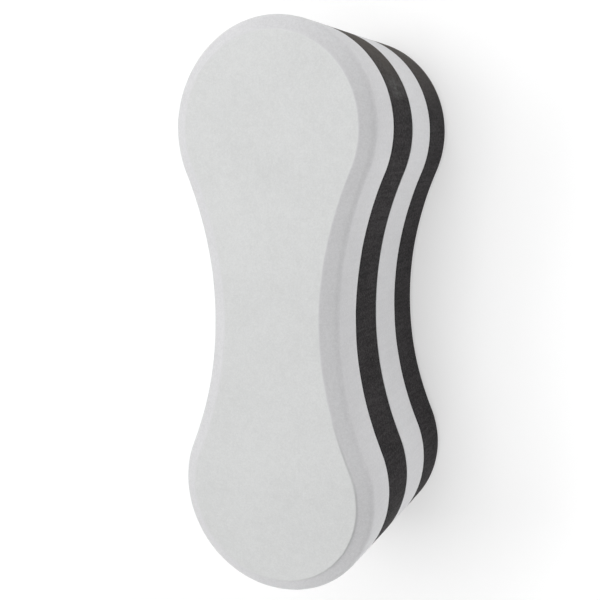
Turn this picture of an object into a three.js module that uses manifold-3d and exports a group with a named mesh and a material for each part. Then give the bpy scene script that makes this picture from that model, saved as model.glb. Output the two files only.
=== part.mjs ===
// Foam pull buoy: four foam sheets glued into one figure-of-eight block.
// The block lies on its rear face: +Z runs from the rear face to the front face,
// +Y runs along the length and +X across the width. The origin is the centre of
// the rear face. Millimetres.

import * as THREE from 'three';
import { mergeVertices } from 'three/addons/utils/BufferGeometryUtils.js';
import Module from 'manifold-3d';

// Driving dimensions
const LENGTH = 240;
const LOBE_WIDTH = 88.5;
const WAIST_WIDTH = 57;
const REAR_BLACK_THICKNESS = 28; // the four thicknesses run from glue joint to glue joint
const INNER_GREY_THICKNESS = 25;
const INNER_BLACK_THICKNESS = 24;
const FRONT_GREY_THICKNESS = 23;
const BOND_THICKNESS = 0.25; // adhesive film between two sheets
const BOND_INSET = 0.5; // the film stops short of the cut edge
const BEVEL_INSET = 6.2; // rim of both flat faces, measured across the face
const BEVEL_SLOPE = THREE.MathUtils.degToRad(26); // fall of the bevel away from the flat face
const SHOULDER_RADIUS = 2.5; // rounding where the bevel meets the side wall
const ARC_DIVISIONS = 16; // half the number of straight facets on each arc
const CUTTING_MARGIN = 1; // how far a cutting block stands out past the side wall

// Outline worked out from the driving dimensions: two round lobes joined by two
// concave arcs that touch both lobes and leave WAIST_WIDTH between them.
const LOBE_RADIUS = LOBE_WIDTH / 2;
const LOBE_CENTRE_Y = LENGTH / 2 - LOBE_RADIUS;
const WAIST_HALF = WAIST_WIDTH / 2;
const WAIST_RADIUS =
  (WAIST_HALF ** 2 + LOBE_CENTRE_Y ** 2 - LOBE_RADIUS ** 2) / (2 * (LOBE_RADIUS - WAIST_HALF));
const WAIST_CENTRE_X = WAIST_HALF + WAIST_RADIUS;
const JOIN_ANGLE = Math.atan2(LOBE_CENTRE_Y, WAIST_CENTRE_X); // where a lobe runs into a waist arc

// The bevel is one flat cut. A second, steeper cut runs through both ends of the
// shoulder rounding and stands in for it.
const BEVEL_DEPTH = BEVEL_INSET * Math.tan(BEVEL_SLOPE);
const SHOULDER_RUN = SHOULDER_RADIUS * (1 - Math.sin(BEVEL_SLOPE));
const SHOULDER_DEPTH =
  SHOULDER_RADIUS * Math.cos(BEVEL_SLOPE) + (BEVEL_INSET - SHOULDER_RUN) * Math.tan(BEVEL_SLOPE);
const SHOULDER_INSET = SHOULDER_DEPTH / Math.tan(Math.PI / 4 + BEVEL_SLOPE / 2);

// Heights of the three glue joints above the rear face.
const REAR_JOINT_Z = REAR_BLACK_THICKNESS;
const MIDDLE_JOINT_Z = REAR_JOINT_Z + INNER_GREY_THICKNESS;
const FRONT_JOINT_Z = MIDDLE_JOINT_Z + INNER_BLACK_THICKNESS;
const HALF_BOND = BOND_THICKNESS / 2;

const GREY_FOAM = { color: 0xd2d4d3, roughness: 0.85, metalness: 0 };
const BLACK_FOAM = { color: 0x343233, roughness: 0.8, metalness: 0 };
const ADHESIVE = { color: 0x8d8778, roughness: 0.5, metalness: 0 };

const wasm = await Module();
wasm.setup();

// Figure-of-eight outline, moved inwards by inset all the way round.
function outline(inset = 0) {
  const lobeRadius = LOBE_RADIUS - inset;
  const waistRadius = WAIST_RADIUS + inset;
  const shape = new THREE.Shape();
  shape.absarc(0, LOBE_CENTRE_Y, lobeRadius, -JOIN_ANGLE, Math.PI + JOIN_ANGLE, false);
  shape.absarc(-WAIST_CENTRE_X, 0, waistRadius, JOIN_ANGLE, -JOIN_ANGLE, true);
  shape.absarc(0, -LOBE_CENTRE_Y, lobeRadius, Math.PI - JOIN_ANGLE, 2 * Math.PI + JOIN_ANGLE, false);
  shape.absarc(WAIST_CENTRE_X, 0, waistRadius, Math.PI + JOIN_ANGLE, Math.PI - JOIN_ANGLE, true);
  return shape;
}

// Straight-sided plate standing on z = 0.
function plate(thickness, inset = 0) {
  return new THREE.ExtrudeGeometry(outline(inset), {
    depth: thickness,
    curveSegments: ARC_DIVISIONS,
    bevelEnabled: false,
  });
}

// Block from z = 0 to z = thickness with one flat bevel of the given size on both rims.
function bevelledBlock(thickness, inset, depth) {
  const block = new THREE.ExtrudeGeometry(outline(), {
    depth: thickness - 2 * depth,
    curveSegments: ARC_DIVISIONS,
    bevelEnabled: true,
    bevelSegments: 1,
    bevelSize: inset,
    bevelOffset: -inset,
    bevelThickness: depth,
  });
  return block.translate(0, 0, depth);
}

function toSolid(geometry) {
  const positionsOnly = geometry.clone();
  positionsOnly.deleteAttribute('normal');
  positionsOnly.deleteAttribute('uv');
  const merged = mergeVertices(positionsOnly);
  const vertProperties = new Float32Array(merged.attributes.position.array);
  const triVerts = new Uint32Array(merged.index.array);
  return new wasm.Manifold(new wasm.Mesh({ numProp: 3, vertProperties, triVerts }));
}

function toGeometry(solid) {
  const { vertProperties, triVerts } = solid.getMesh();
  const geometry = new THREE.BufferGeometry();
  geometry.setAttribute('position', new THREE.BufferAttribute(vertProperties, 3));
  geometry.setIndex(new THREE.BufferAttribute(triVerts, 1));
  geometry.computeVertexNormals();
  return geometry;
}

// Outer sheet, bevelled on its upper rim only: a block twice as thick is bevelled on
// both rims, cut again at the shoulder, and only its upper half is kept.
function outerSheet(thickness) {
  const blockHeight = 2 * thickness;
  const bevelled = toSolid(bevelledBlock(blockHeight, BEVEL_INSET, BEVEL_DEPTH));
  const shouldered = toSolid(bevelledBlock(blockHeight, SHOULDER_INSET, SHOULDER_DEPTH));
  const upperHalf = toSolid(plate(thickness, -CUTTING_MARGIN).translate(0, 0, thickness));
  const sheet = bevelled.intersect(shouldered).intersect(upperHalf);
  return toGeometry(sheet).translate(0, 0, -thickness);
}

function part(name, geometry, finish, z) {
  const mesh = new THREE.Mesh(geometry, new THREE.MeshStandardMaterial(finish));
  mesh.name = name;
  mesh.position.z = z;
  return mesh;
}

// Each glued face gives way to half of its adhesive film.
function rearBlackLayer() {
  const thickness = REAR_BLACK_THICKNESS - HALF_BOND;
  const turnedOver = outerSheet(thickness).rotateX(Math.PI).translate(0, 0, thickness);
  return part('rear_black_layer', turnedOver, BLACK_FOAM, 0);
}

function innerGreyLayer() {
  const sheet = plate(INNER_GREY_THICKNESS - BOND_THICKNESS);
  return part('inner_grey_layer', sheet, GREY_FOAM, REAR_JOINT_Z + HALF_BOND);
}

function innerBlackLayer() {
  const sheet = plate(INNER_BLACK_THICKNESS - BOND_THICKNESS);
  return part('inner_black_layer', sheet, BLACK_FOAM, MIDDLE_JOINT_Z + HALF_BOND);
}

function frontGreyLayer() {
  const sheet = outerSheet(FRONT_GREY_THICKNESS - HALF_BOND);
  return part('front_grey_layer', sheet, GREY_FOAM, FRONT_JOINT_Z + HALF_BOND);
}

// Adhesive film centred on the glue joint at height jointZ.
function bondLine(name, jointZ) {
  return part(name, plate(BOND_THICKNESS, BOND_INSET), ADHESIVE, jointZ - HALF_BOND);
}

const pullBuoy = new THREE.Group();
pullBuoy.add(
  rearBlackLayer(),
  bondLine('rear_bond_line', REAR_JOINT_Z),
  innerGreyLayer(),
  bondLine('middle_bond_line', MIDDLE_JOINT_Z),
  innerBlackLayer(),
  bondLine('front_bond_line', FRONT_JOINT_Z),
  frontGreyLayer(),
);

export default pullBuoy;
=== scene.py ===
"""Looks of a laminated foam pull buoy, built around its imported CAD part.

Everything is in metres in the part's own frame. The float lies on its rear face: +Z runs
from the rear face to the front face, +Y along the length and +X across the width. Four
foam sheets are rebuilt as fine meshes in the space that their CAD solids hold, and the
three glue films between them stay as the CAD made them.
"""

import math
from collections import namedtuple

import bmesh
import bpy
import numpy as np
from mathutils import Matrix, Vector, noise


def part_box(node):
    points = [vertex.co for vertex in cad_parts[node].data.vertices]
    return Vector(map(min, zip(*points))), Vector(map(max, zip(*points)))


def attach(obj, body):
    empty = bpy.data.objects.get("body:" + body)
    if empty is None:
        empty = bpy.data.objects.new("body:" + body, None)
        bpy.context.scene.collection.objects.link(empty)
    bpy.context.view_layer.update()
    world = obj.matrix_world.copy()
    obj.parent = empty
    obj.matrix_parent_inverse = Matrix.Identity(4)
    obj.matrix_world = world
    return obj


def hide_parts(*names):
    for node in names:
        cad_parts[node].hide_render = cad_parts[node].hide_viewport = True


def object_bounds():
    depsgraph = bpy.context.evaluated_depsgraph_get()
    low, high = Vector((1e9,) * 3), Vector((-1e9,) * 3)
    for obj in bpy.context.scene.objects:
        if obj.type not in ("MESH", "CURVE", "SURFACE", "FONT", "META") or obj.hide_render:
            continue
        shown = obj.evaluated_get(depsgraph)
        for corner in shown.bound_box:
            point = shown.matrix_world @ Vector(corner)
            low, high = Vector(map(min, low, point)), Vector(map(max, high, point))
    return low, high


MM = 0.001

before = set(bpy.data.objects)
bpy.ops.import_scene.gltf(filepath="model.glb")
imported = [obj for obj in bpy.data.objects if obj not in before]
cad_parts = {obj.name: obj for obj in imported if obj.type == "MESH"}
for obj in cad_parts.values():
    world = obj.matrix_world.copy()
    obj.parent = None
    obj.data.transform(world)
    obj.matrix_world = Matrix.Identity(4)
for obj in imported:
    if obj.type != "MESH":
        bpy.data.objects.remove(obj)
cad_low, cad_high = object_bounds()

# ---------------------------------------------------------------- outline, from the frame
LENGTH = cad_high.y - cad_low.y
WIDTH = cad_high.x - cad_low.x
LOBE_RADIUS = WIDTH / 2
LOBE_CENTRE_Y = LENGTH / 2 - LOBE_RADIUS
WAIST_HALF = min(
    abs(v.co.x)
    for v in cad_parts["inner_grey_layer"].data.vertices
    if abs(v.co.y) < LOBE_CENTRE_Y
)
WAIST_RADIUS = (WAIST_HALF**2 + LOBE_CENTRE_Y**2 - LOBE_RADIUS**2) / (2 * (LOBE_RADIUS - WAIST_HALF))
WAIST_CENTRE_X = WAIST_HALF + WAIST_RADIUS
JOIN_ANGLE = math.atan2(LOBE_CENTRE_Y, WAIST_CENTRE_X)  # where a lobe runs into a waist arc

# ---------------------------------------------------------------- bevel and rims
BEVEL_INSET = 6.0 * MM  # rim of an outer face, measured across the face on the lobes
BEVEL_WAIST_EXTRA = 1.0 * MM  # the cutter bites this much wider at the waist
BEVEL_WAIST_REACH = 45 * MM  # how far from the waist along the length that goes
BEVEL_SLOPE = math.radians(26)
SHOULDER_RADIUS = 3.6 * MM  # where the bevel runs into the side wall
SEAM_ROUNDING = 0.25 * MM  # edge of a sheet beside a glue joint
STEP_DEPTH = 0.6 * MM  # small step that the cutter left at the crease of one lobe
STEP_CENTRE = math.radians(-26)  # its middle, as an angle round the lower lobe's centre
STEP_HALF_SPAN = math.radians(74)
STEP_FADE = 0.7  # below 1 it keeps most of its depth until close to its ends
STEP_RUN = 0.06 * MM  # width of its riser, seen from above

# ---------------------------------------------------------------- mesh density
OUTLINE_SPACING = 1.0 * MM
WALL_SPACING = 1.1 * MM
FACE_RINGS = 30
FACE_CROWDING = 1.15  # above 1 the rings lie closer together near the rim
RIM_SHARE = 0.012  # first ring inside the rim, which keeps the crease crisp
GLUED_SHARES = (1, 0.6, 0.25, 0.04)  # rings of a glued face, from the spine out to its edge
SHOULDER_STEPS = 8
BEVEL_STEPS = 6
ROUNDING_STEPS = 3
MERGE_DISTANCE = 0.01 * MM
SKIN, CUT = 0, 1  # material slots of a sheet: its faces as moulded, and where the blade went
EDGE_MARK = "edge"  # mesh attribute, 1 along the seams and the rims and 0 elsewhere

# ---------------------------------------------------------------- relief of the foam
# Height and length of the waves: those that the blade left in the whole block, each sheet's
# own, which make the faint steps at the glue joints, and its puckers and grain.
CUT_WAVE = (0.13 * MM, 38 * MM)
SHEET_WAVES = ((0.05 * MM, 21 * MM), (0.030 * MM, 6 * MM), (0.010 * MM, 2.0 * MM))
BLOCK_SEED = 0
SHEET_SEEDS = {
    "front_grey_layer": 11.3,
    "inner_black_layer": 23.1,
    "inner_grey_layer": 37.9,
    "rear_black_layer": 53.7,
}
SEED_SPREAD = (1, 1.7, 0.6)  # how far apart in the noise each unit of seed takes a pattern

# One loop of a sheet's surface: its points, the kind of surface that it ends, and the angle
# of that surface's normal above the horizontal.
Ring = namedtuple("Ring", "points kind tilt")
UPRIGHT = math.pi / 2


def arc(centre, radius, start, end, facing):
    """Points and outward normals on an arc, without its end.

    facing is 1 on a lobe and -1 on a waist arc. The number of points is even."""
    count = 2 * round(radius * abs(end - start) / OUTLINE_SPACING / 2)
    angles = start + (end - start) * np.arange(count) / count
    directions = np.column_stack([np.cos(angles), np.sin(angles)])
    return np.array(centre) + radius * directions, facing * directions


def outline():
    """Points and outward normals round the figure of eight.

    They run anticlockwise from the right of the upper lobe."""
    j = JOIN_ANGLE
    arcs = [
        arc((0, LOBE_CENTRE_Y), LOBE_RADIUS, -j, math.pi + j, 1),
        arc((-WAIST_CENTRE_X, 0), WAIST_RADIUS, j, -j, -1),
        arc((0, -LOBE_CENTRE_Y), LOBE_RADIUS, math.pi - j, 2 * math.pi + j, 1),
        arc((WAIST_CENTRE_X, 0), WAIST_RADIUS, math.pi + j, math.pi - j, -1),
    ]
    return np.vstack([a[0] for a in arcs]), np.vstack([a[1] for a in arcs])


POINTS, NORMALS = outline()
COUNT = len(POINTS)


def loop(inset, height):
    """The outline moved inwards by inset, at height. Both may vary round the outline."""
    flat = POINTS - np.broadcast_to(inset, COUNT)[:, None] * NORMALS
    return np.column_stack([flat, np.broadcast_to(height, COUNT)])


def towards_spine(rim, share):
    """The rim moved towards the spine between the two lobe centres, which it reaches at share 1."""
    spine = rim.copy()
    spine[:, 0] = 0
    spine[:, 1] = np.clip(rim[:, 1], -LOBE_CENTRE_Y, LOBE_CENTRE_Y)
    return rim + share * (spine - rim)


def bevel_inset():
    """Width of the bevel at each point of the outline, a little more at the waist."""
    return BEVEL_INSET + BEVEL_WAIST_EXTRA * np.exp(-((POINTS[:, 1] / BEVEL_WAIST_REACH) ** 2))


def crease_step():
    """Depth of the cutter's step at each point of the outline, fading out at both ends."""
    angle = np.arctan2(POINTS[:, 1] + LOBE_CENTRE_Y, POINTS[:, 0])
    end = math.cos(STEP_HALF_SPAN)
    return STEP_DEPTH * np.clip((np.cos(angle - STEP_CENTRE) - end) / (1 - end), 0, 1) ** STEP_FADE


def glued_side(wall_top):
    """Rings from the spine of a glued face, round its edge and up the side wall to wall_top."""
    edge = loop(SEAM_ROUNDING, 0)
    rings = [Ring(towards_spine(edge, share), "glued", -UPRIGHT) for share in GLUED_SHARES]
    for number in range(ROUNDING_STEPS):
        turn = UPRIGHT * number / ROUNDING_STEPS
        inset = SEAM_ROUNDING * (1 - math.sin(turn))
        rings.append(Ring(loop(inset, SEAM_ROUNDING * (1 - math.cos(turn))), "seam", 0))
    rows = round((wall_top - SEAM_ROUNDING) / WALL_SPACING)
    for row in range(rows + 1):
        height = SEAM_ROUNDING + (wall_top - SEAM_ROUNDING) * row / rows
        rings.append(Ring(loop(0, height), "wall", 0))
    return rings


def inner_sheet(thickness):
    """Rings of a sheet that is glued on both faces."""
    lower = glued_side(thickness / 2)
    upper = [Ring(r.points * (1, 1, -1) + (0, 0, thickness), r.kind, -r.tilt) for r in lower[:-1]]
    return lower + upper[::-1]


def outer_sheet(thickness, step):
    """Rings of a sheet glued on one face and bevelled round the other.

    step is the depth of the cutter's step in the crease."""
    inset = bevel_inset()
    run = SHOULDER_RADIUS * (1 - math.sin(BEVEL_SLOPE))
    crease = thickness - step
    bevel_foot = crease - (inset - run) * math.tan(BEVEL_SLOPE)
    shoulder_foot = bevel_foot - SHOULDER_RADIUS * math.cos(BEVEL_SLOPE)
    bevel_tilt = UPRIGHT - BEVEL_SLOPE
    rings = glued_side(shoulder_foot.min() - WALL_SPACING)
    for number in range(SHOULDER_STEPS):
        turn = bevel_tilt * number / SHOULDER_STEPS
        bow = SHOULDER_RADIUS * (1 - math.cos(turn))
        rings.append(Ring(loop(bow, shoulder_foot + SHOULDER_RADIUS * math.sin(turn)), "wall", turn))
    for number in range(BEVEL_STEPS + 1):
        share = number / BEVEL_STEPS
        inward = run + (inset - run) * share
        kind = "rim" if number == BEVEL_STEPS else "bevel"
        rings.append(Ring(loop(inward, bevel_foot + (crease - bevel_foot) * share), kind, bevel_tilt))
    rim = loop(inset + STEP_RUN, thickness)
    rings.append(Ring(rim, "rim", UPRIGHT))
    rings.append(Ring(towards_spine(rim, RIM_SHARE), "face", UPRIGHT))
    for number in range(1, FACE_RINGS + 1):
        rings.append(Ring(towards_spine(rim, (number / FACE_RINGS) ** FACE_CROWDING), "face", UPRIGHT))
    return rings


def waves_at(point, waves, seed):
    """Sum of the waves, given as (height, length), at a point. Each seed has its own pattern."""
    offset = Vector([seed * spread for spread in SEED_SPREAD])
    return sum(height * noise.noise(point / length + offset) for height, length in waves)


def with_relief(rings, base, direction, seed):
    """Points of the rings at their places in the frame, moved by the foam's relief."""
    placed = []
    for ring in rings:
        points = ring.points * (1, 1, direction) + (0, 0, base)
        if ring.kind != "glued":
            outward = np.column_stack(
                [NORMALS * math.cos(ring.tilt), np.full(COUNT, direction * math.sin(ring.tilt))]
            )
            heights = [
                waves_at(Vector(p), [CUT_WAVE], BLOCK_SEED) + waves_at(Vector(p), SHEET_WAVES, seed)
                for p in points
            ]
            points = points + outward * np.array(heights)[:, None]
        placed.append(points)
    return placed


def foam_mesh(name, rings, placed):
    """A mesh through the rings, closed along the spine at both ends."""
    maker = bmesh.new()
    mark = maker.verts.layers.float.new(EDGE_MARK)
    rows = []
    for ring, points in zip(rings, placed):
        row = [maker.verts.new(p) for p in points]
        for vertex in row:
            vertex[mark] = 1.0 if ring.kind in ("seam", "rim") else 0.0
        rows.append(row)
    for lower, upper, ring in zip(rows, rows[1:], rings[1:]):
        for i in range(COUNT):
            j = (i + 1) % COUNT
            face = maker.faces.new((lower[i], lower[j], upper[j], upper[i]))
            face.material_index = SKIN if ring.kind in ("face", "glued") else CUT
            face.smooth = True
    bmesh.ops.remove_doubles(maker, verts=rows[0], dist=MERGE_DISTANCE)
    bmesh.ops.remove_doubles(maker, verts=rows[-1], dist=MERGE_DISTANCE)
    bmesh.ops.recalc_face_normals(maker, faces=maker.faces)
    mesh = bpy.data.meshes.new(name)
    maker.to_mesh(mesh)
    maker.free()
    return mesh


# ---------------------------------------------------------------- materials
GREY_SKIN = (0.625, 0.632, 0.629)
GREY_CUT = (0.604, 0.603, 0.613)
GREY_CONTRAST = 0.05  # how far the tone strays from the colour, as a share of it
BLACK = (0.0185, 0.0162, 0.0173)
BLACK_SKIN_CONTRAST = 0.5
BLACK_CUT_CONTRAST = 0.7
GLUE = (0.27, 0.24, 0.19)

# Stretches multiply the place along each axis, so a number below 1 draws a pattern out there.
EVEN = (1, 1, 1)
FACE_TO_FACE = (1, 1, 0.07)  # makes the blade marks long enough to cross a whole sheet
# A foam's pattern: cells or clouds of about that size in metres, its share in the tone and in
# the height of the surface, how fine the detail of clouds goes, and its stretch.
Pattern = namedtuple("Pattern", "kind size tone height detail stretch", defaults=(None, EVEN))
# What covers a foam: its patterns, its roughness where the tone is dark and where it is
# light, the depth of its relief and its specular level.
Finish = namedtuple("Finish", "patterns roughness depth specular")
SKIN_FINISH = Finish(
    (
        Pattern("clouds", 24 * MM, tone=0.20, height=0.0, detail=3),
        Pattern("clouds", 2.6 * MM, tone=0.25, height=0.50, detail=3),
        Pattern("clouds", 1.0 * MM, tone=0.35, height=0.30, detail=4),
        Pattern("cells", 0.5 * MM, tone=0.20, height=0.20),
    ),
    roughness=(0.86, 0.76),
    depth=0.08 * MM,
    specular=0.35,
)
CUT_FINISH = Finish(
    (
        Pattern("cells", 0.6 * MM, tone=0.25, height=0.35),
        Pattern("clouds", 1.1 * MM, tone=0.40, height=0.40, detail=4),
        Pattern("clouds", 1.3 * MM, tone=0.20, height=0.25, detail=3, stretch=FACE_TO_FACE),
        Pattern("clouds", 16 * MM, tone=0.15, height=0.0, detail=3),
    ),
    roughness=(0.95, 0.78),
    depth=0.10 * MM,
    specular=0.2,
)
TONE_LOW, TONE_HIGH = 0.38, 0.62  # the blended patterns hardly leave this range

# Patches, of painted highlight and wear along the edges, of painted sheen and dust at the ends,
# and of a scuff: their size, how fine their detail goes, and the two ends of a ramp from their noise to
# how much is there, each end as (noise, amount).
Patches = namedtuple("Patches", "size detail low high")
EDGE_HIGHLIGHT_AND_WEAR = Patches(7 * MM, 4, (0.42, 0.4), (0.68, 1.0))
END_SHEEN_AND_DUST = Patches(5 * MM, 4, (0.3, 0.6), (0.7, 1.0))
SCUFF_STREAKS = Patches(1.6 * MM, 3, (0.42, 0.1), (0.62, 1.0))

SHEEN_AND_DUST = (0.078, 0.068, 0.058)  # warm grey of painted sheen and dust towards the black foam's ends
SHEEN_AND_DUST_START = LENGTH / 3  # where that begins, along the length from the middle
SHEEN_AND_DUST_END = LENGTH * 0.52
LOWER_END_SHARE = 0.3  # how much of the upper end's painted sheen and dust the lower end has
SCUFF = (0.090, 0.092, 0.090)  # one neutral grey spot on the black inner sheet
SCUFF_ANGLE = math.radians(23)  # round the upper lobe's centre
SCUFF_REACH = (6 * MM, 6 * MM, 12 * MM)  # half its size along each axis
SCUFF_STRETCH = (1, 1, 0.4)

STROKE_WIDTH = 3 * MM  # of the brush that spread the glue
STROKE_DETAIL = 4
STROKE_STRETCH = (1, 0.2, 1)
STROKE_LOW, STROKE_HIGH = 0.3, 0.7  # range of the strokes' noise
GLUE_SHADES = (0.75, 1.15)
GLUE_ROUGHNESS = (0.38, 0.62)
GLUE_DEPTH = 0.04 * MM


def add_node(tree, kind, inputs, **settings):
    """A new node with its settings. Each named input is a value or another node's output."""
    node = tree.nodes.new(kind)
    for setting, value in settings.items():
        setattr(node, setting, value)
    for name, value in inputs.items():
        if isinstance(value, bpy.types.NodeSocket):
            tree.links.new(value, node.inputs[name])
        else:
            node.inputs[name].default_value = value
    return node


def place_in_frame(tree, stretch=EVEN):
    """Position in metres in the part's frame, multiplied along each axis by the stretch."""
    place = add_node(tree, "ShaderNodeTexCoord", {}).outputs["Object"]
    return add_node(tree, "ShaderNodeMapping", {"Vector": place, "Scale": stretch}).outputs["Vector"]


def clouds(tree, place, size, detail):
    """Soft noise from 0 to 1 with lumps of about that size in metres."""
    inputs = {"Vector": place, "Scale": 1 / size, "Detail": detail}
    return add_node(tree, "ShaderNodeTexNoise", inputs).outputs["Fac"]


def cells(tree, place, size):
    """Distance from the middle of rounded cells of about that size in metres."""
    inputs = {"Vector": place, "Scale": 1 / size}
    return add_node(tree, "ShaderNodeTexVoronoi", inputs).outputs["Distance"]


def pattern_output(tree, pattern):
    place = place_in_frame(tree, pattern.stretch)
    if pattern.kind == "cells":
        return cells(tree, place, pattern.size)
    return clouds(tree, place, pattern.size, pattern.detail)


def arithmetic(tree, operation, first, second):
    """A sum, product or other operation on two numbers or outputs."""
    return add_node(tree, "ShaderNodeMath", {0: first, 1: second}, operation=operation).outputs[0]


def blend_of(tree, parts):
    """Weighted sum of outputs, given as (output, weight)."""
    total = 0.0
    for output, weight in parts:
        total = arithmetic(tree, "ADD", arithmetic(tree, "MULTIPLY", output, weight), total)
    return total


def ramp(tree, factor, low, high):
    """Colour between two ends of a ramp, each given as (position, colour)."""
    node = add_node(tree, "ShaderNodeValToRGB", {"Fac": factor})
    for element, (position, colour) in zip(node.color_ramp.elements, (low, high)):
        element.position = position
        element.color = opaque(colour)
    return node.outputs["Color"]


def level_ramp(tree, factor, low, high):
    """Number between two ends of a ramp, each given as (position, number)."""
    low_end, high_end = ((position, (number,) * 3) for position, number in (low, high))
    return ramp(tree, factor, low_end, high_end)


def shade(colour, share):
    return tuple(channel * share for channel in colour)


def opaque(colour):
    return (*colour, 1)


def mixed(tree, factor, first, second):
    """Colour between two colours or outputs."""
    node = tree.nodes.new("ShaderNodeMix")
    node.data_type = "RGBA"
    sockets = {s.identifier: s for s in node.inputs}
    for identifier, value in (("Factor_Float", factor), ("A_Color", first), ("B_Color", second)):
        if isinstance(value, bpy.types.NodeSocket):
            tree.links.new(value, sockets[identifier])
        else:
            sockets[identifier].default_value = value
    return {s.identifier: s for s in node.outputs}["Result_Color"]


def new_material(name):
    material = bpy.data.materials.new(name)
    material.use_nodes = True
    return material, material.node_tree, material.node_tree.nodes["Principled BSDF"]


def set_surface(tree, shader, colour, roughness, height, depth):
    """Colour, roughness and relief of a surface, whose height from 0 to 1 stands for that depth."""
    bump = add_node(tree, "ShaderNodeBump", {"Height": height, "Distance": depth, "Strength": 1.0})
    tree.links.new(colour, shader.inputs["Base Color"])
    tree.links.new(roughness, shader.inputs["Roughness"])
    tree.links.new(bump.outputs["Normal"], shader.inputs["Normal"])


def patchy(tree, amount, place, patches):
    """An amount from 0 to 1 that is broken up into patches."""
    noise_there = clouds(tree, place, patches.size, patches.detail)
    return arithmetic(tree, "MULTIPLY", amount, level_ramp(tree, noise_there, patches.low, patches.high))


def edge_highlight_and_wear(tree):
    """From 0 to 1: a painted highlight and wear along the seams and the rims, where the mesh marks them,
    stronger in patches.
    """
    edge = add_node(tree, "ShaderNodeAttribute", {}, attribute_name=EDGE_MARK).outputs["Fac"]
    return patchy(tree, edge, place_in_frame(tree), EDGE_HIGHLIGHT_AND_WEAR)


def sheen_and_dust_end(tree, direction):
    """Painted sheen and dust, from 0 to 1 towards the upper end, with direction 1, or towards the lower
    one, with -1.
    """
    place = place_in_frame(tree)
    along = add_node(tree, "ShaderNodeSeparateXYZ", {"Vector": place}).outputs["Y"]
    inputs = {"Value": along, "From Min": direction * SHEEN_AND_DUST_START, "From Max": direction * SHEEN_AND_DUST_END}
    rise = add_node(tree, "ShaderNodeMapRange", inputs, interpolation_type="SMOOTHSTEP")
    return patchy(tree, rise.outputs["Result"], place, END_SHEEN_AND_DUST)


def scuff(tree):
    """From 0 to 1: one streaky spot where something has brushed across the black inner sheet."""
    low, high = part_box("inner_black_layer")
    centre = (
        LOBE_RADIUS * math.cos(SCUFF_ANGLE),
        LOBE_CENTRE_Y + LOBE_RADIUS * math.sin(SCUFF_ANGLE),
        (low.z + high.z) / 2,
    )
    inputs = {"Vector": place_in_frame(tree), "Location": centre, "Scale": SCUFF_REACH}
    around = add_node(tree, "ShaderNodeMapping", inputs, vector_type="TEXTURE").outputs["Vector"]
    spot = add_node(tree, "ShaderNodeTexGradient", {"Vector": around}, gradient_type="SPHERICAL")
    return patchy(tree, spot.outputs["Fac"], place_in_frame(tree, SCUFF_STRETCH), SCUFF_STREAKS)


def with_sheen_and_dust(tree, colour):
    """The colour with painted sheen and dust on both ends, and a scuff."""
    low_end = arithmetic(tree, "MULTIPLY", sheen_and_dust_end(tree, -1), LOWER_END_SHARE)
    colour = mixed(tree, sheen_and_dust_end(tree, 1), colour, opaque(SHEEN_AND_DUST))
    colour = mixed(tree, low_end, colour, opaque(SHEEN_AND_DUST))
    return mixed(tree, scuff(tree), colour, opaque(SCUFF))


def foam(name, colour, contrast, finish, sheened_and_dusty=False):
    """Closed-cell foam with patterned tone and relief, lighter along its edges by a painted highlight
    and wear.

    Where that is asked for, it also has painted sheen and dust on both ends, and a scuff."""
    material, tree, shader = new_material(name)
    dark, light = shade(colour, 1 - contrast), shade(colour, 1 + contrast)
    layers = [(pattern, pattern_output(tree, pattern)) for pattern in finish.patterns]
    tone = blend_of(tree, [(output, pattern.tone) for pattern, output in layers])
    height = blend_of(tree, [(output, pattern.height) for pattern, output in layers if pattern.height])
    surface = ramp(tree, tone, (TONE_LOW, dark), (TONE_HIGH, light))
    # painted sheen and dust towards the ends, and a scuff
    if sheened_and_dusty:
        surface = with_sheen_and_dust(tree, surface)
    # painted highlight and wear along the seams and the rims
    surface = mixed(tree, edge_highlight_and_wear(tree), surface, opaque(light))
    rough_dark, rough_light = finish.roughness
    roughness = level_ramp(tree, tone, (TONE_LOW, rough_dark), (TONE_HIGH, rough_light))
    set_surface(tree, shader, surface, roughness, height, finish.depth)
    shader.inputs["Specular IOR Level"].default_value = finish.specular
    return material


def grey_foam():
    """Materials of a grey sheet, in the order of its slots SKIN and CUT."""
    skin = foam("grey_foam_skin", GREY_SKIN, GREY_CONTRAST, SKIN_FINISH)
    return skin, foam("grey_foam_cut", GREY_CUT, GREY_CONTRAST, CUT_FINISH)


def black_foam():
    """Materials of a black sheet, in the order of its slots SKIN and CUT."""
    skin = foam("black_foam_skin", BLACK, BLACK_SKIN_CONTRAST, SKIN_FINISH)
    # its cut faces get painted sheen and dust towards both ends
    return skin, foam("black_foam_cut", BLACK, BLACK_CUT_CONTRAST, CUT_FINISH, sheened_and_dusty=True)


def dried_glue():
    """Brushed-on contact adhesive, dried to a satin film."""
    material, tree, shader = new_material("dried_glue")
    strokes = clouds(tree, place_in_frame(tree, STROKE_STRETCH), STROKE_WIDTH, STROKE_DETAIL)
    dark, light = (shade(GLUE, share) for share in GLUE_SHADES)
    colour = ramp(tree, strokes, (STROKE_LOW, dark), (STROKE_HIGH, light))
    smooth, rough = GLUE_ROUGHNESS
    roughness = level_ramp(tree, strokes, (STROKE_LOW, smooth), (STROKE_HIGH, rough))
    set_surface(tree, shader, colour, roughness, strokes, GLUE_DEPTH)
    return material


# ---------------------------------------------------------------- pieces
def foam_piece(name, node, rings, materials, upside_down=False):
    """One foam sheet in the space of its CAD node, which it replaces."""
    low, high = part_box(node)
    base, direction = (high.z, -1) if upside_down else (low.z, 1)
    mesh = foam_mesh(name, rings, with_relief(rings, base, direction, SHEET_SEEDS[node]))
    for material in materials:
        mesh.materials.append(material)
    piece = bpy.data.objects.new(name, mesh)
    bpy.context.scene.collection.objects.link(piece)
    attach(piece, "root")
    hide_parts(node)


def thickness_of(node):
    low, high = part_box(node)
    return high.z - low.z


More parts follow.
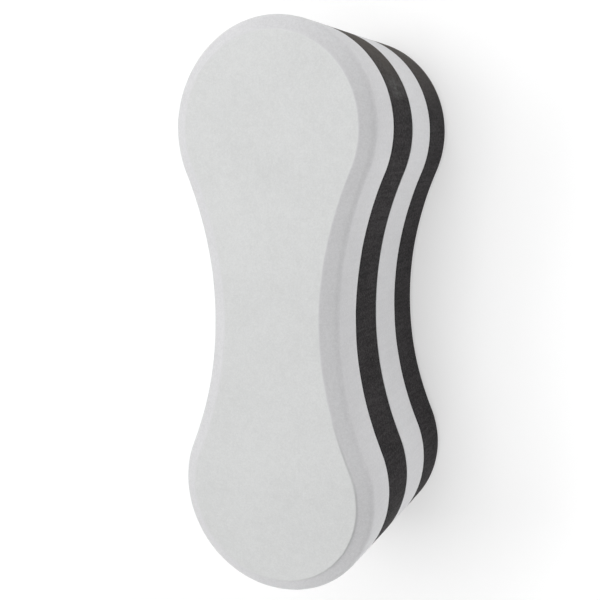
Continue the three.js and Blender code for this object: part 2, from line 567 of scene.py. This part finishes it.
def build_float():
    """The four foam sheets from front to rear, and the finish of the glue films."""
    grey, black = grey_foam(), black_foam()
    front = outer_sheet(thickness_of("front_grey_layer"), crease_step())
    inner_black = inner_sheet(thickness_of("inner_black_layer"))
    inner_grey = inner_sheet(thickness_of("inner_grey_layer"))
    rear = outer_sheet(thickness_of("rear_black_layer"), np.zeros(COUNT))
    foam_piece("front_grey_foam", "front_grey_layer", front, grey)
    foam_piece("inner_black_foam", "inner_black_layer", inner_black, black)
    foam_piece("inner_grey_foam", "inner_grey_layer", inner_grey, grey)
    foam_piece("rear_black_foam", "rear_black_layer", rear, black, upside_down=True)
    adhesive = dried_glue()
    for node in ("front_bond_line", "middle_bond_line", "rear_bond_line"):
        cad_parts[node].material_slots[0].material = adhesive


# ---------------------------------------------------------------- floor, light and camera
WHITE = (1, 1, 1, 1)
FLOOR_SIZE = 24.0
FLOOR_COLOUR = (0.5, 0.5, 0.5, 1)
FLOOR_ROUGHNESS = 0.9
FLOOR_GLOW = 0.5  # the floor is lit from below, as a light table is
BACKDROP_GLOW = 1.0  # and more towards its far edge, where it meets a backdrop as bright as this
POOL_RADIUS = 0.25  # where the glow starts to rise
BACKDROP_RADIUS = 0.9  # where it is as bright as the backdrop

SOFTBOX_DISTANCE = 1.4
SOFTBOX_SIZE = 0.9
# Name, direction from the float, and power in watts
SOFTBOXES = (
    ("key_softbox", (-1.0, 0.15, 1.0), 8.2),
    ("upper_softbox", (-0.35, 0.6, 1.0), 5.3),
    ("front_softbox", (0.0, 0.0, 1.0), 8.5),
    ("far_end_softbox", (0.0, 1.0, 0.5), 5.0),
    ("near_end_softbox", (0.0, -1.0, 0.12), 11.3),
)
CARD_HEIGHT = 0.07
# Low cards that glow beside the float, with one edge on the floor: name, place on the floor,
# direction of the light, width, and power in watts
CARDS = (
    ("right_card", (0.19, 0), (-1, 0, 0.25), 0.6, 0.22),
    ("upper_right_card", (0.16, 0.16), (-1, -1, 0.25), 0.4, 0.021),
)

CAMERA_AZIMUTH = math.radians(23.86)  # to the right of the front face's normal
CAMERA_ELEVATION = math.radians(10.29)  # towards +Y from it
CAMERA_ROLL = math.radians(-0.13)
CAMERA_DISTANCE = 1.4871 * LENGTH  # from the aim point, which lies in the plane of the front face
AIM = Vector((0.2505 * WIDTH, 0.0058 * LENGTH, cad_high.z))
SENSOR = 36.0  # millimetres, as the lens
LENS = 53.77
SHIFT = 0.0333  # the photographer framed the float off the lens axis
CLIP_START = 0.01


def pale_floor():
    """Matt material that glows, evenly around the float and brighter towards the backdrop."""
    material, tree, shader = new_material("pale_floor")
    distance = add_node(tree, "ShaderNodeVectorMath", {0: place_in_frame(tree)}, operation="LENGTH")
    inputs = {
        "Value": distance.outputs["Value"],
        "From Min": POOL_RADIUS,
        "From Max": BACKDROP_RADIUS,
        "To Min": FLOOR_GLOW,
        "To Max": BACKDROP_GLOW,
    }
    glow = add_node(tree, "ShaderNodeMapRange", inputs).outputs["Result"]
    tree.links.new(glow, shader.inputs["Emission Strength"])
    shader.inputs["Base Color"].default_value = FLOOR_COLOUR
    shader.inputs["Roughness"].default_value = FLOOR_ROUGHNESS
    shader.inputs["Emission Color"].default_value = WHITE
    return material


def add_floor(height):
    """Plain pale floor at the given height, under the float."""
    maker = bmesh.new()
    bmesh.ops.create_grid(maker, x_segments=1, y_segments=1, size=FLOOR_SIZE / 2)
    mesh = bpy.data.meshes.new("floor")
    maker.to_mesh(mesh)
    maker.free()
    mesh.materials.append(pale_floor())
    floor = bpy.data.objects.new("floor", mesh)
    floor.location.z = height
    bpy.context.scene.collection.objects.link(floor)


def lamp(name, place, towards, width, height, power):
    """Rectangular soft lamp that the camera doesn't see. Its width runs along the floor."""
    data = bpy.data.lights.new(name, "AREA")
    data.shape = "RECTANGLE"
    data.size = width
    data.size_y = height
    data.energy = power
    holder = bpy.data.objects.new(name, data)
    holder.location = place
    holder.rotation_euler = towards.to_track_quat("-Z", "Y").to_euler()
    holder.visible_camera = False
    bpy.context.scene.collection.objects.link(holder)


def add_lamps():
    """Large square softboxes that shine on the middle of the float, and low cards beside it."""
    middle = (cad_low + cad_high) / 2
    for name, direction, power in SOFTBOXES:
        away = Vector(direction).normalized()
        lamp(name, middle + away * SOFTBOX_DISTANCE, -away, SOFTBOX_SIZE, SOFTBOX_SIZE, power)
    for name, place, towards, width, power in CARDS:
        centre = Vector((*place, CARD_HEIGHT / 2))
        lamp(name, centre, Vector(towards), width, CARD_HEIGHT, power)


def add_backdrop():
    """White surroundings that only the camera sees, so that they cast no light on the float."""
    world = bpy.data.worlds.new("studio")
    world.use_nodes = True
    background = world.node_tree.nodes["Background"]
    background.inputs["Color"].default_value = WHITE
    background.inputs["Strength"].default_value = BACKDROP_GLOW
    bpy.context.scene.world = world
    for rays in ("diffuse", "glossy", "transmission", "scatter"):
        setattr(world.cycles_visibility, rays, False)


def add_camera():
    """Camera that looks down on the front face, a little from the right and the upper end."""
    azimuth, elevation = CAMERA_AZIMUTH, CAMERA_ELEVATION
    back = Vector(
        (
            math.sin(azimuth) * math.cos(elevation),
            math.sin(elevation),
            math.cos(azimuth) * math.cos(elevation),
        )
    )
    right = (-back).cross(Vector((0, 1, 0))).normalized()
    up = right.cross(-back)
    rolled_right = right * math.cos(CAMERA_ROLL) + up * math.sin(CAMERA_ROLL)
    rolled_up = up * math.cos(CAMERA_ROLL) - right * math.sin(CAMERA_ROLL)
    data = bpy.data.cameras.new("camera")
    data.sensor_width = SENSOR
    data.lens = LENS
    data.shift_x = -SHIFT
    data.shift_y = SHIFT
    data.clip_start = CLIP_START
    camera = bpy.data.objects.new("camera", data)
    turn = Matrix((rolled_right, rolled_up, back)).transposed().to_4x4()
    camera.matrix_world = Matrix.Translation(AIM + back * CAMERA_DISTANCE) @ turn
    bpy.context.scene.collection.objects.link(camera)
    bpy.context.scene.camera = camera


build_float()
visual_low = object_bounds()[0]
add_floor(visual_low.z)
add_lamps()
add_backdrop()
add_camera()
bpy.context.scene.view_settings.view_transform = "Standard"
